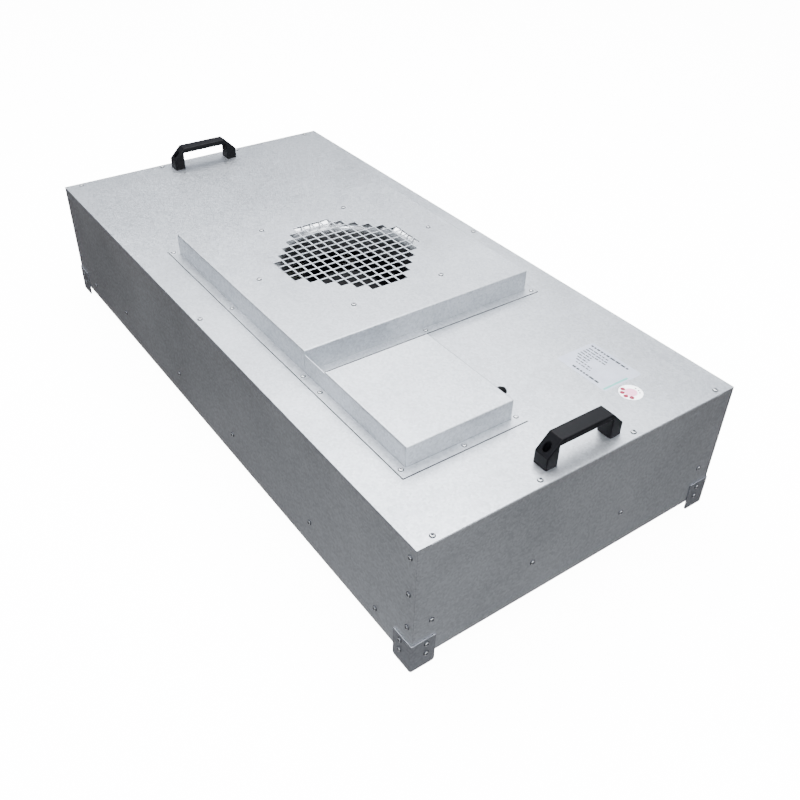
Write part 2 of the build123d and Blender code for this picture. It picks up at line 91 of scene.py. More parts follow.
def newMaterial(name, shader):
    material = bpy.data.materials.new(name)
    material.use_nodes = True
    tree = material.node_tree
    tree.nodes.clear()
    surface = addNode(tree, "ShaderNodeBsdfPrincipled", shader)
    addNode(tree, "ShaderNodeOutputMaterial", links={"Surface": surface.outputs["BSDF"]})
    where = addNode(tree, "ShaderNodeTexCoord").outputs["Object"]
    return material, tree, surface, where


# Hot-dip galvanised steel, skin-passed: a pale zinc grey whose crystals show as a faint fine mosaic,
# over slow clouds of lighter and darker tone and the slight buckle of thin sheet. Ambient occlusion
# darkens the colour in the last millimetres beside a head or a lap: painted shade, a soft dark line there.
galvanised = {
    "crystal": 3.2, "cloud": 160.0, "cloudShare": 0.7, "buckle": 210.0, "buckleDepth": 0.5,
    "dark": "#B2B5B9", "light": "#D8DBDF", "darkAt": 0.2, "lightAt": 0.8, "bright": 0.39, "matt": 0.5,
    # painted shade: how far ambient occlusion reaches, its range, and the dark grey it mixes towards
    "paintedShadeReach": 2.5, "paintedShadeFrom": 0.15, "paintedShadeTo": 0.75, "paintedShade": "#66686C", "paintedShadeSamples": 8,
}
# the brackets' thicker stock comes from another coil, duller and darker
bracketStock = {**galvanised, "dark": "#8C8E93", "light": "#AEB0B5", "bright": 0.44, "matt": 0.56}


def galvanisedSheet(name, look):
    material, tree, surface, where = newMaterial(name, {"Metallic": 1.0})
    crystals = addNode(
        tree, "ShaderNodeTexVoronoi", {"Scale": per(look["crystal"])}, {"Vector": where})
    grey = addNode(tree, "ShaderNodeSeparateColor", links={"Color": crystals.outputs["Color"]})
    clouds = addNode(
        tree, "ShaderNodeTexNoise", {"Scale": per(look["cloud"]), "Detail": 4.0}, {"Vector": where})
    blend = addNode(
        tree, "ShaderNodeMix", {"Factor": look["cloudShare"]},
        {"A": grey.outputs["Red"], "B": clouds.outputs["Fac"]}, data_type="FLOAT")
    colour = addNode(
        tree, "ShaderNodeValToRGB", links={"Fac": blend.outputs["Result"]},
        stops=((look["darkAt"], look["dark"]), (look["lightAt"], look["light"])))
    # painted shade: ambient occlusion darkens the colour towards a dark grey beside heads, laps and corners
    shelter = addNode(
        tree, "ShaderNodeAmbientOcclusion", {"Distance": look["paintedShadeReach"] * mm},
        samples=look["paintedShadeSamples"])
    unshadedShare = addNode(
        tree, "ShaderNodeMapRange", {"From Min": look["paintedShadeFrom"], "From Max": look["paintedShadeTo"]},
        {"Value": shelter.outputs["AO"]})
    shadedColour = addNode(
        tree, "ShaderNodeMix", {"A": linear(look["paintedShade"])},
        {"Factor": unshadedShare.outputs["Result"], "B": colour.outputs["Color"]}, data_type="RGBA")
    gloss = addNode(
        tree, "ShaderNodeMapRange", {"To Min": look["bright"], "To Max": look["matt"]},
        {"Value": grey.outputs["Green"]})
    buckles = addNode(
        tree, "ShaderNodeTexNoise", {"Scale": per(look["buckle"]), "Detail": 1.0}, {"Vector": where})
    relief = addNode(
        tree, "ShaderNodeBump", {"Distance": look["buckleDepth"] * mm},
        {"Height": buckles.outputs["Fac"]})
    connect(tree, surface, {
        "Base Color": shadedColour.outputs["Result"], "Roughness": gloss.outputs["Result"],
        "Normal": relief.outputs["Normal"]})
    return material


# Spun galvanised sheet: brighter than the flat stock. The roller's rings are about 0.8 mm apart on the
# real thing, and are drawn every 3 mm, because finer ones vanish a step away.
spun = {"ring": 3.0, "wobble": 0.6, "dark": "#C4C6C8", "light": "#E6E7E8", "depth": 0.03, "rough": 0.3}
waveRadians = 20  # how far the phase of a wave texture turns over one unit of length


def spunSheet(name, look):
    material, tree, surface, where = newMaterial(name, {"Metallic": 1.0, "Roughness": look["rough"]})
    scale = per(look["ring"]) * 2 * pi / waveRadians
    rings = addNode(
        tree, "ShaderNodeTexWave", {"Scale": scale, "Distortion": look["wobble"]}, {"Vector": where},
        wave_type="RINGS", rings_direction="Z")
    colour = addNode(
        tree, "ShaderNodeValToRGB", links={"Fac": rings.outputs["Fac"]}, stops=darkToLight(look))
    relief = addNode(
        tree, "ShaderNodeBump", {"Distance": look["depth"] * mm}, {"Height": rings.outputs["Fac"]})
    connect(tree, surface, {"Base Color": colour.outputs["Color"], "Normal": relief.outputs["Normal"]})
    return material


# Bright zinc plate on small steel heads: a mirror-like skin with a soft haze. A darker, duller copy of
# it is painted shade, laid in the recesses and round the foot of each head.
zincs = {
    "zincPlate": {"haze": 1.2, "dark": "#C2C4C6", "light": "#F0F0EE", "bright": 0.14, "matt": 0.3},
    # painted shade: the darker copy for the recesses and the feet of the heads
    "zincPaintedShade": {"haze": 0.8, "dark": "#56585C", "light": "#6C6E72", "bright": 0.5, "matt": 0.7},
}


def zincPlate(name, look):
    material, tree, surface, where = newMaterial(name, {"Metallic": 1.0})
    haze = addNode(
        tree, "ShaderNodeTexNoise", {"Scale": per(look["haze"]), "Detail": 3.0}, {"Vector": where})
    colour = addNode(
        tree, "ShaderNodeValToRGB", links={"Fac": haze.outputs["Fac"]}, stops=darkToLight(look))
    gloss = addNode(
        tree, "ShaderNodeMapRange", {"To Min": look["bright"], "To Max": look["matt"]},
        {"Value": haze.outputs["Fac"]})
    connect(tree, surface, {"Base Color": colour.outputs["Color"], "Roughness": gloss.outputs["Result"]})
    return material


# Moulded polymers: body colour that drifts along the flow of the melt, under a fine spark-eroded grain
# that breaks up the gloss. The real grain is near 0.1 mm, and is drawn several times coarser to show.
mouldings = {
    "mouldedNylonBlack": {"dark": "#060608", "light": "#0B0B0E", "flow": 35.0, "grain": 0.9, "depth": 0.05,
                          "gloss": 0.36, "matt": 0.52, "ior": 1.53, "sheen": 0.1},
    "mouldedPolyamideCream": {"dark": "#D6D0C2", "light": "#E4DFD2", "flow": 35.0, "grain": 0.8,
                              "depth": 0.03, "gloss": 0.35, "matt": 0.5, "ior": 1.53, "sheen": 0.5},
    "mouldedCapacitorCan": {"dark": "#C6C6C0", "light": "#D8D8D2", "flow": 35.0, "grain": 1.4,
                            "depth": 0.02, "gloss": 0.22, "matt": 0.34, "ior": 1.49, "sheen": 0.5},
    "extrudedPvcLead": {"dark": "#B9AE98", "light": "#CBC1AC", "flow": 20.0, "grain": 2.0,
                        "depth": 0.02, "gloss": 0.36, "matt": 0.5, "ior": 1.54, "sheen": 0.5},
    "softRubber": {"dark": "#141414", "light": "#222222", "flow": 20.0, "grain": 0.7,
                   "depth": 0.05, "gloss": 0.6, "matt": 0.8, "ior": 1.52, "sheen": 0.4},
    "closedCellFoam": {"dark": "#26262A", "light": "#3A3A3E", "flow": 8.0, "grain": 0.6,
                       "depth": 0.25, "gloss": 0.85, "matt": 0.98, "ior": 1.5, "sheen": 0.3},
}


def moulding(name, look):
    material, tree, surface, where = newMaterial(
        name, {"IOR": look["ior"], "Specular IOR Level": look["sheen"]})
    grain = addNode(
        tree, "ShaderNodeTexNoise", {"Scale": per(look["grain"]), "Detail": 2.0}, {"Vector": where})
    flow = addNode(
        tree, "ShaderNodeTexNoise", {"Scale": per(look["flow"]), "Detail": 3.0}, {"Vector": where})
    colour = addNode(
        tree, "ShaderNodeValToRGB", links={"Fac": flow.outputs["Fac"]}, stops=darkToLight(look))
    gloss = addNode(
        tree, "ShaderNodeMapRange", {"To Min": look["gloss"], "To Max": look["matt"]},
        {"Value": grain.outputs["Fac"]})
    relief = addNode(
        tree, "ShaderNodeBump", {"Distance": look["depth"] * mm}, {"Height": grain.outputs["Fac"]})
    connect(tree, surface, {
        "Base Color": colour.outputs["Color"], "Roughness": gloss.outputs["Result"],
        "Normal": relief.outputs["Normal"]})
    return material


# Cast and drawn metals of the fan and the filter: a sandy casting skin, and an anodised extrusion whose
# die lines run along it.
metals = {
    "diecastAluminium": {"dark": "#8E8F91", "light": "#A9AAAC", "grain": 1.1, "depth": 0.06,
                         "gloss": 0.42, "matt": 0.6, "stretch": (1, 1, 1)},
    "anodisedExtrusion": {"dark": "#B4B5B7", "light": "#C8C9CB", "grain": 1.5, "depth": 0.02,
                          "gloss": 0.38, "matt": 0.5, "stretch": (0.02, 0.02, 1)},
}


def plainMetal(name, look):
    material, tree, surface, where = newMaterial(name, {"Metallic": 1.0})
    drawn = addNode(
        tree, "ShaderNodeMapping", {"Scale": look["stretch"]}, {"Vector": where})
    grain = addNode(
        tree, "ShaderNodeTexNoise", {"Scale": per(look["grain"]), "Detail": 3.0},
        {"Vector": drawn.outputs["Vector"]})
    colour = addNode(
        tree, "ShaderNodeValToRGB", links={"Fac": grain.outputs["Fac"]}, stops=darkToLight(look))
    gloss = addNode(
        tree, "ShaderNodeMapRange", {"To Min": look["gloss"], "To Max": look["matt"]},
        {"Value": grain.outputs["Fac"]})
    relief = addNode(
        tree, "ShaderNodeBump", {"Distance": look["depth"] * mm}, {"Height": grain.outputs["Fac"]})
    connect(tree, surface, {
        "Base Color": colour.outputs["Color"], "Roughness": gloss.outputs["Result"],
        "Normal": relief.outputs["Normal"]})
    return material


# Black coats inside the fan: a satin dip coat on the rotor, and a thinner, slightly greyer paint on the
# impeller's sheet. Both have the orange peel of a thick film.
coats = {
    "blackDipCoat": {"peel": 2.4, "dark": "#050506", "light": "#0A0A0C", "depth": 0.05,
                     "gloss": 0.46, "matt": 0.6, "sheen": 0.08},
    "blackPaint": {"peel": 3.5, "dark": "#101114", "light": "#1A1B1F", "depth": 0.04,
                   "gloss": 0.34, "matt": 0.46, "sheen": 0.4},
}


def blackCoat(name, look):
    material, tree, surface, where = newMaterial(name, {"Specular IOR Level": look["sheen"]})
    peel = addNode(
        tree, "ShaderNodeTexNoise", {"Scale": per(look["peel"]), "Detail": 1.0}, {"Vector": where})
    colour = addNode(
        tree, "ShaderNodeValToRGB", links={"Fac": peel.outputs["Fac"]}, stops=darkToLight(look))
    gloss = addNode(
        tree, "ShaderNodeMapRange", {"To Min": look["gloss"], "To Max": look["matt"]},
        {"Value": peel.outputs["Fac"]})
    relief = addNode(
        tree, "ShaderNodeBump", {"Distance": look["depth"] * mm}, {"Height": peel.outputs["Fac"]})
    connect(tree, surface, {
        "Base Color": colour.outputs["Color"], "Roughness": gloss.outputs["Result"],
        "Normal": relief.outputs["Normal"]})
    return material


# Glass-fibre filter paper: a chalky felt, fully matt. Its threads are hair-fine, and their clumps are
# drawn at 0.8 mm instead.
paper = {"fibre": 0.8, "dark": "#E0DFD8", "light": "#F1F0EB", "depth": 0.08, "rough": 0.95, "fuzz": 0.15}


def glassFibrePaper(name, look):
    material, tree, surface, where = newMaterial(
        name, {"Roughness": look["rough"], "Sheen Weight": look["fuzz"]})
    felt = addNode(
        tree, "ShaderNodeTexNoise", {"Scale": per(look["fibre"]), "Detail": 6.0}, {"Vector": where})
    colour = addNode(
        tree, "ShaderNodeValToRGB", links={"Fac": felt.outputs["Fac"]}, stops=darkToLight(look))
    relief = addNode(
        tree, "ShaderNodeBump", {"Distance": look["depth"] * mm}, {"Height": felt.outputs["Fac"]})
    connect(tree, surface, {"Base Color": colour.outputs["Color"], "Normal": relief.outputs["Normal"]})
    return material


finishes = {
    "galvanised_sheet": galvanisedSheet("galvanisedSheet", galvanised),
    "bracketStock": galvanisedSheet("galvanisedBracketStock", bracketStock),
    "spun_sheet": spunSheet("spunSheet", spun),
    "zinc_fasteners": zincPlate("zincPlate", zincs["zincPlate"]),
    "zincPaintedShade": zincPlate("zincPaintedShade", zincs["zincPaintedShade"]),
    "black_plastic": moulding("mouldedNylonBlack", mouldings["mouldedNylonBlack"]),
    "motor_black": blackCoat("blackDipCoat", coats["blackDipCoat"]),
    "motor_aluminium": plainMetal("diecastAluminium", metals["diecastAluminium"]),
    "impeller_sheet": blackCoat("blackPaint", coats["blackPaint"]),
    "filter_frame_aluminium": plainMetal("anodisedExtrusion", metals["anodisedExtrusion"]),
    "filter_media": glassFibrePaper("glassFibrePaper", paper),
    "gasket_foam": moulding("closedCellFoam", mouldings["closedCellFoam"]),
    "grommet_rubber": moulding("softRubber", mouldings["softRubber"]),
    "lead_pvc": moulding("extrudedPvcLead", mouldings["extrudedPvcLead"]),
    "terminal_plastic": moulding("mouldedPolyamideCream", mouldings["mouldedPolyamideCream"]),
    "capacitor_plastic": moulding("mouldedCapacitorCan", mouldings["mouldedCapacitorCan"]),
}
slotOf = {part["node"]: part["material_slot"] for part in frame["record"]["subparts"]}
for name, node in nodes.items():
    node.data.materials.clear()
    node.data.materials.append(
        finishes["bracketStock" if name.startswith("corner_bracket") else slotOf[name]])
print("finishes made:", len(finishes))


# a folded or moulded edge is never knife sharp: a small round there catches the light
rounding = {"weld": 0.01, "flatWithin": 0.5, "foldOver": 40, "segments": 2}
edges = {
    "folded": {"width": 0.35, "parts": [
        "top_panel", "front_wall", "back_wall", "right_wall", "left_wall", "inlet_cowl", "wiring_cover",
        "corner_bracket_front_right", "corner_bracket_front_left", "corner_bracket_back_right",
        "corner_bracket_back_left", "motor_bridge", "filter_frame"]},
    "moulded": {"width": 0.5, "parts": ["handle_right", "handle_left", "cable_gland", "terminal_block"]},
}


def softenEdges(part, width):
    weld = part.modifiers.new("weld", "WELD")
    weld.merge_threshold = rounding["weld"] * mm
    flat = part.modifiers.new("flat", "DECIMATE")
    flat.decimate_type = "DISSOLVE"
    flat.angle_limit = radians(rounding["flatWithin"])
    soft = part.modifiers.new("soft", "BEVEL")
    soft.width = width * mm
    soft.segments = rounding["segments"]
    soft.limit_method = "ANGLE"
    soft.angle_limit = radians(rounding["foldOver"])
    soft.use_clamp_overlap = True
    soft.face_strength_mode = "FSTR_ALL"
    normals = part.modifiers.new("normals", "WEIGHTED_NORMAL")
    normals.use_face_influence = True
    part.data.shade_smooth()


for kind in edges.values():
    for name in kind["parts"]:
        softenEdges(nodes[name], kind["width"])
print("edges softened")


# a drawn shape as a piece on its body, with its finish and any others as its materials
def pieceFrom(name, shape, finish, body="casing", others=()):
    mesh = bpy.data.meshes.new(name)
    shape.normal_update()
    shape.to_mesh(mesh)
    shape.free()
    for each in (finish, *others):
        mesh.materials.append(finishes[each])
    mesh.shade_smooth()
    piece = bpy.data.objects.new(name, mesh)
    bpy.context.scene.collection.objects.link(piece)
    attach(piece, body)
    return piece


def faceted(piece):
    piece.data.shade_flat()
    return piece


samePoint = 0.02 * mm


# where each plain head of a CAD group stands: its seat, the way it faces, its radius and its height;
# a head tapers, so its wider end is the seat
def headPlaces(name):
    shape = bmesh.new()
    shape.from_mesh(nodes[name].data)
    bmesh.ops.remove_doubles(shape, verts=shape.verts, dist=samePoint)
    places = []
    unseen = set(shape.verts)
    while unseen:
        head, waiting = set(), [unseen.pop()]
        while waiting:
            vert = waiting.pop()
            head.add(vert)
            fresh = {e.other_vert(vert) for e in vert.link_edges} & unseen
            unseen -= fresh
            waiting += fresh
        points = [v.co.copy() for v in head]
        low = Vector([min(p[i] for p in points) for i in range(3)])
        high = Vector([max(p[i] for p in points) for i in range(3)])
        middle = (low + high) / 2
        size = high - low
        axis = min(range(3), key=lambda i: size[i])
        spread = [max((p - middle).length for p in points if (p[axis] > middle[axis]) == up)
                  for up in (False, True)]
        out = Vector((0, 0, 0))
        out[axis] = 1 if spread[0] > spread[1] else -1
        places.append((middle - out * size[axis] / 2, out, max(size) / 2, size[axis]))
    shape.free()
    return sorted(places, key=lambda place: tuple(place[0]))


# rings of points joined by quads; the bands counted in dark take the second finish, which on the heads is
# painted shade
def joinRings(shape, rings, dark=()):
    for level, (lower, upper) in enumerate(zip(rings, rings[1:])):
        count = len(lower)
        for i in range(count):
            after = (i + 1) % count
            face = shape.faces.new((lower[i], lower[after], upper[after], upper[i]))
            face.material_index = 1 if level in dark else 0


# points round a circle at one height
def circleAt(radius, height, sides):
    angles = [2 * pi * i / sides for i in range(sides)]
    return [Vector((radius * cos(a), radius * sin(a), height)) for a in angles]


# rings drawn for a head of radius 1 and height 1, turned and sized to stand on its seat
def placeRings(shape, rings, seat, out, radius, height, turn):
    turned = out.to_track_quat("Z", "Y").to_matrix() @ Matrix.Rotation(turn, 3, "Z")
    return [[shape.verts.new(seat + turned @ Vector((p.x * radius, p.y * radius, p.z * height)))
             for p in ring] for ring in rings]


# shares of the head's radius and height from the sealing washer to the flat crown
panHead = {
    "sides": 24, "turns": 37,
    "armLength": 0.58, "armWidth": 0.19, "recess": 0.75, "draft": 0.8, "tip": 0.9,
    "profile": ((1.2, 0.0), (1.2, 0.1), (1.0, 0.12), (1.0, 0.45), (0.95, 0.7), (0.86, 0.87), (0.74, 0.96),
                (0.61, 1.0)),
    # bands in painted shade: the washer, the side up to its shoulder, the flat round the cross and the
    # walls of the recess
    "dark": (0, 1, 2, 3, 7, 8),
}


# a pan head with a cross recess, on a thin sealing washer; the washer, the side of the head, the flat round
# the cross and the recess carry painted shade
def addPanHead(shape, *place):
    sides = panHead["sides"]
    long, wide = panHead["armLength"], panHead["armWidth"]
    arm = [(long, 0), (long, wide), ((long + wide) / 2, wide), (wide, wide),
           (wide, (long + wide) / 2), (wide, long)]
    cross = [Matrix.Rotation(pi / 2 * quarter, 2) @ Vector(p) for quarter in range(4) for p in arm]
    rings = [circleAt(share, level, sides) for share, level in panHead["profile"]]
    rings.append([Vector((*p, 1.0)) for p in cross])
    rings.append([Vector((*(p * panHead["draft"]), 1.0 - panHead["recess"])) for p in cross])
    tip = [Vector((0, 0, panHead["tip"] - panHead["recess"]))]
    *verts, (centre,) = placeRings(shape, [*rings, tip], *place)
    joinRings(shape, verts, panHead["dark"])
    shape.faces.new(list(reversed(verts[0])))
    last = verts[-1]
    for i in range(sides):
        shape.faces.new((last[i], last[(i + 1) % sides], centre)).material_index = 1


# shares of the head's radius and height from the seal over the dome and down to the mandrel
popRivet = {
    "sides": 24,
    "profile": ((1.18, 0.0), (1.18, 0.1), (1.0, 0.12), (1.0, 0.34), (0.93, 0.6), (0.78, 0.82), (0.58, 0.96),
                (0.4, 1.0), (0.34, 0.93), (0.34, 0.45), (0.17, 0.53)),
    # bands in painted shade: the seal, the side up to its shoulder and the mandrel's hole
    "dark": (0, 1, 2, 3, 8, 9),
}


# a domed blind rivet on its seal, with the broken mandrel sunk in its middle; the seal, the foot of the
# dome and the mandrel's hole carry painted shade
def addPopRivet(shape, *place):
    rings = [circleAt(share, level, popRivet["sides"]) for share, level in popRivet["profile"]]
    verts = placeRings(shape, rings, *place)
    joinRings(shape, verts, popRivet["dark"])
    shape.faces.new(list(reversed(verts[0])))
    shape.faces.new(verts[-1]).material_index = 1


# CAD group: its detailed stand-in, the maker of one head, and the body it rides on
fasteners = {
    "top_screws": ("topPanelScrews", addPanHead, "casing"),
    "wall_screws": ("wallScrews", addPanHead, "casing"),
    "bracket_screws": ("bracketScrews", addPanHead, "casing"),
    "nozzle_screws": ("nozzleScrews", addPanHead, "casing"),
    "motor_screws": ("motorScrews", addPanHead, "casing"),
    "bridge_screws": ("bridgeScrews", addPanHead, "casing"),
    "cowl_rivets": ("cowlRivets", addPopRivet, "casing"),
    "cover_rivets": ("coverRivets", addPopRivet, "casing"),
    "rotor_rivets": ("rotorRivets", addPopRivet, "fan_rotor"),
}
for group, (name, addHead, body) in fasteners.items():
    shape = bmesh.new()
    places = headPlaces(group)
    for i, (seat, out, radius, height) in enumerate(places):
        addHead(shape, seat, out, radius, height, radians(panHead["turns"] * i))
    bmesh.ops.recalc_face_normals(shape, faces=shape.faces)
    # the heads' second finish is their painted shade
    heads = pieceFrom(name, shape, "zinc_fasteners", body, ["zincPaintedShade"])
    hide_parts(group)
    print(name, len(places))


# fine folds across the short side, held apart by glue beads, in place of the coarse CAD pack
pack = {"pitch": 4.0, "depth": 21.0, "inset": 2.0, "margin": 1.0, "beadEvery": 26.0, "bead": 0.8,
        "beadRise": 0.7}


def bridgeRows(shape, rows):
    for first, second in zip(rows, rows[1:]):
        shape.faces.new((first[0], second[0], second[1], first[1]))


# the folds and glue beads of one face of the pack
def foldedFace(shape, low, high, level, inward):
    margin = pack["margin"] * mm
    start, end = low.x + margin, high.x - margin
    count = int((end - start) / (pack["pitch"] * mm))
    step = (end - start) / count
    rows = []
    for i in range(2 * count + 1):
        x = start + i * step / 2
        z = level + inward * (pack["inset"] + (pack["depth"] if i % 2 else 0)) * mm
        rows.append([shape.verts.new((x, y, z)) for y in (low.y + margin, high.y - margin)])
    bridgeRows(shape, rows)
    beads = int((high.y - low.y) / (pack["beadEvery"] * mm))
    z = level + inward * pack["inset"] * mm
    wide = pack["bead"] * mm
    for i in range(1, beads):
        y = low.y + (high.y - low.y) * i / beads
        ridge = [(y - wide, z), (y, z - inward * wide * pack["beadRise"]), (y + wide, z)]
        bridgeRows(shape, [[shape.verts.new((x, py, pz)) for x in (start, end)] for py, pz in ridge])


def filterPack():
    low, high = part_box("filter_media")
    shape = bmesh.new()
    foldedFace(shape, low, high, low.z, 1)
    foldedFace(shape, low, high, high.z, -1)
    piece = faceted(pieceFrom("filterPack", shape, "filter_media"))
    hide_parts("filter_media")


filterPack()
print("filter pack folded")


# Printed polyester film, smooth and silver, and white vinyl for the round sticker. Brighteners make such
# vinyl whiter than the sheet beside it; here the vinyl and its pale print glow instead, which is painted
# light.
films = {
    "silverFilm": {"dark": "#C3C7D4", "light": "#D0D4E0", "metal": 0.6, "rough": 0.4, "glow": 0.0},
    "greyPrint": {"dark": "#1C1E24", "light": "#262930", "metal": 0.0, "rough": 0.5, "glow": 0.0},
    "tealPrint": {"dark": "#5CB3A8", "light": "#70C0B5", "metal": 0.0, "rough": 0.5, "glow": 0.0},
    # painted light: the white vinyl and the pale print glow
    "whiteVinyl": {"dark": "#FAFAFA", "light": "#FFFFFF", "metal": 0.0, "rough": 0.42, "glow": 2.0},
    "palePrint": {"dark": "#F0A0BE", "light": "#F5B6CE", "metal": 0.0, "rough": 0.5, "glow": 0.8},
    "crimsonPrint": {"dark": "#84002C", "light": "#96083A", "metal": 0.0, "rough": 0.5, "glow": 0.0},
}
polyester = {"ior": 1.57, "drift": 18.0, "film": 0.2 * mm, "ink": 0.05 * mm}


def film(name, look):
    material, tree, surface, where = newMaterial(
        name, {"Metallic": look["metal"], "Roughness": look["rough"], "IOR": polyester["ior"],
               "Emission Color": linear(look["light"]), "Emission Strength": look["glow"]})
    wander = addNode(
        tree, "ShaderNodeTexNoise", {"Scale": per(polyester["drift"]), "Detail": 2.0}, {"Vector": where})
    colour = addNode(
        tree, "ShaderNodeValToRGB", links={"Fac": wander.outputs["Fac"]}, stops=darkToLight(look))
    connect(tree, surface, {"Base Color": colour.outputs["Color"]})
    return material


for name, look in films.items():
    finishes[name] = film(name, look)


# a thin plate with an outline of points, from one level to another
def addPlate(shape, outline, low, high):
    bottom = [shape.verts.new((x, y, low)) for x, y in outline]
    top = [shape.verts.new((x, y, high)) for x, y in outline]
    joinRings(shape, [bottom, top])
    shape.faces.new(list(reversed(bottom)))
    shape.faces.new(top)


def roundedOutline(x0, y0, x1, y1, radius, steps):
    corners = [(x1 - radius, y0 + radius, -90), (x1 - radius, y1 - radius, 0),
               (x0 + radius, y1 - radius, 90), (x0 + radius, y0 + radius, 180)]
    outline = []
    for cx, cy, start in corners:
        angles = [radians(start + 90 * i / steps) for i in range(steps + 1)]
        outline += [(cx + radius * cos(a), cy + radius * sin(a)) for a in angles]
    return outline


# All places and sizes of the label and the sticker are in metres.
# a silver plate with a broken heading bar, eight rows of short bars, a footing bar and a teal stripe
ratingLabel = {
    "bounds": (0.390, 0.120, 0.491, 0.197), "radius": 0.003, "steps": 4, "seed": 4,
    "heading": (0.395, 0.471, 0.1892), "footing": (0.417, 0.470, 0.1276), "headingBar": 0.0036,
    "starts": (0.398, 0.398, 0.398, 0.398, 0.398, 0.403, 0.407, 0.413),
    "ends": (0.438, 0.442, 0.444, 0.421, 0.423, 0.424, 0.439, 0.442),
    "firstRow": 0.181, "pitch": 0.006, "bar": 0.0022, "word": (0.003, 0.010), "space": 0.002,
    "stripe": (0.4840, 0.122, 0.4874, 0.172),
}
# a white disc with a pale pink middle, crimson dots round its lower left edge and grey ones opposite
roundSticker = {
    "centre": (0.5127, 0.1502), "radius": 0.0178, "middle": 0.0095, "sides": 48,
    "dotRing": 0.0128, "crimsonDots": (-162, -122, -81, -41), "crimsonRadius": 0.0038,
    "greyDots": (50, 75, 101), "greyRadius": 0.0014, "dotSides": 14,
}
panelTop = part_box("top_panel")[1].z
filmTop = panelTop + polyester["film"]
inkTop = filmTop + polyester["ink"]


def flatPiece(name, outlines, low, high, finish):
    shape = bmesh.new()
    for outline in outlines:
        addPlate(shape, outline, low, high)
    faceted(pieceFrom(name, shape, finish))


def rectangle(x0, y0, x1, y1):
    return [(x0, y0), (x1, y0), (x1, y1), (x0, y1)]


def circle(cx, cy, radius, sides):
    angles = [2 * pi * i / sides for i in range(sides)]
    return [(cx + radius * cos(a), cy + radius * sin(a)) for a in angles]


# one row of bars of chance lengths, with a space after each
def addBars(bars, chance, look, start, end, y, thick):
    while start < end:
        length = min(chance.uniform(*look["word"]), end - start)
        bars.append(rectangle(start, y - thick / 2, start + length, y + thick / 2))
        start += length + look["space"]


def barRows(look):
    chance = Random(look["seed"])
    bars = []
    for start, end, y in (look["heading"], look["footing"]):
        addBars(bars, chance, look, start, end, y, look["headingBar"])
    for row, (start, end) in enumerate(zip(look["starts"], look["ends"])):
        addBars(bars, chance, look, start, end, look["firstRow"] - look["pitch"] * row, look["bar"])
    return bars


def layLabel(look):
    plate = roundedOutline(*look["bounds"], look["radius"], look["steps"])
    flatPiece("ratingLabel", [plate], panelTop, filmTop, "silverFilm")
    flatPiece("ratingLabelBars", barRows(look), filmTop, inkTop, "greyPrint")
    flatPiece("ratingLabelStripe", [rectangle(*look["stripe"])], filmTop, inkTop, "tealPrint")


def dotsRound(look, angles, radius):
    cx, cy = look["centre"]
    ring = look["dotRing"]
    return [circle(cx + ring * cos(radians(a)), cy + ring * sin(radians(a)), radius, look["dotSides"])
            for a in angles]


def laySticker(look):
    disc = circle(*look["centre"], look["radius"], look["sides"])
    middle = circle(*look["centre"], look["middle"], look["sides"])
    crimson = dotsRound(look, look["crimsonDots"], look["crimsonRadius"])
    grey = dotsRound(look, look["greyDots"], look["greyRadius"])
    flatPiece("roundSticker", [disc], panelTop, filmTop, "whiteVinyl")
    flatPiece("roundStickerMiddle", [middle], filmTop, inkTop, "palePrint")
    flatPiece("roundStickerDots", crimson, filmTop, inkTop, "crimsonPrint")
    flatPiece("roundStickerMarks", grey, filmTop, inkTop, "greyPrint")


layLabel(ratingLabel)
laySticker(roundSticker)
print("labels laid")


# dark strips stand under the edge of each flange and on the cover's lid along its edge: painted shadow
# lines where the sheets meet
shadowStrips = {
    "wide": 0.9 * mm, "high": 0.5 * mm,
    "lidShadowStrip": (0.2697, -0.2105, 0.2706, -0.0365), "proud": 0.06 * mm,
}


# flat dark strips in the rubber finish, drawn as painted shadow lines
def shadowStripPiece(name, strips, low, high):
    shape = bmesh.new()
    for strip in strips:
        addPlate(shape, rectangle(*strip), low, high)
    pieceFrom(name, shape, "grommet_rubber")


# painted shadow lines run all round the cowl; the cover butts against it, so they run along two of its
# sides only
def layShadowStrips(look):
    wide, top = look["wide"], panelTop + look["high"]
    low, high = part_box("inlet_cowl")
    shadowStripPiece("cowlShadowLine", [
        (low.x - wide, low.y - wide, low.x, high.y + wide),
        (high.x, low.y - wide, high.x + wide, high.y + wide),
        (low.x, low.y - wide, high.x, low.y),
        (low.x, high.y, high.x, high.y + wide)], panelTop, top)
    coverLow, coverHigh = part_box("wiring_cover")
    shadowStripPiece("coverShadowLine", [
        (high.x + wide, coverLow.y - wide, coverHigh.x + wide, coverLow.y),
        (coverHigh.x, coverLow.y, coverHigh.x + wide, coverHigh.y + wide)], panelTop, top)
    # a dark strip just proud of the lid along its edge: a painted shadow gap
    shadowStripPiece("coverLidShadowLine", [look["lidShadowStrip"]], coverHigh.z, coverHigh.z + look["proud"])


layShadowStrips(shadowStrips)
print("seals laid")


cameraPlace = {
    "location": (1.14640, -0.73707, 0.99668), "lens": 40.50, "sensor": 36.0,
    "right": (0.58189, 0.81282, 0.02703), "up": (-0.50784, 0.33720, 0.79272),
    "back": (0.63522, -0.47500, 0.60899),
}
lensData = bpy.data.cameras.new("camera")
lensData.sensor_width = cameraPlace["sensor"]
lensData.lens = cameraPlace["lens"]
camera = bpy.data.objects.new("camera", lensData)
bpy.context.scene.collection.objects.link(camera)
turned = Matrix((cameraPlace["right"], cameraPlace["up"], cameraPlace["back"])).transposed()
camera.matrix_world = Matrix.Translation(cameraPlace["location"]) @ turned.to_4x4()
bpy.context.scene.camera = camera
print("camera placed")


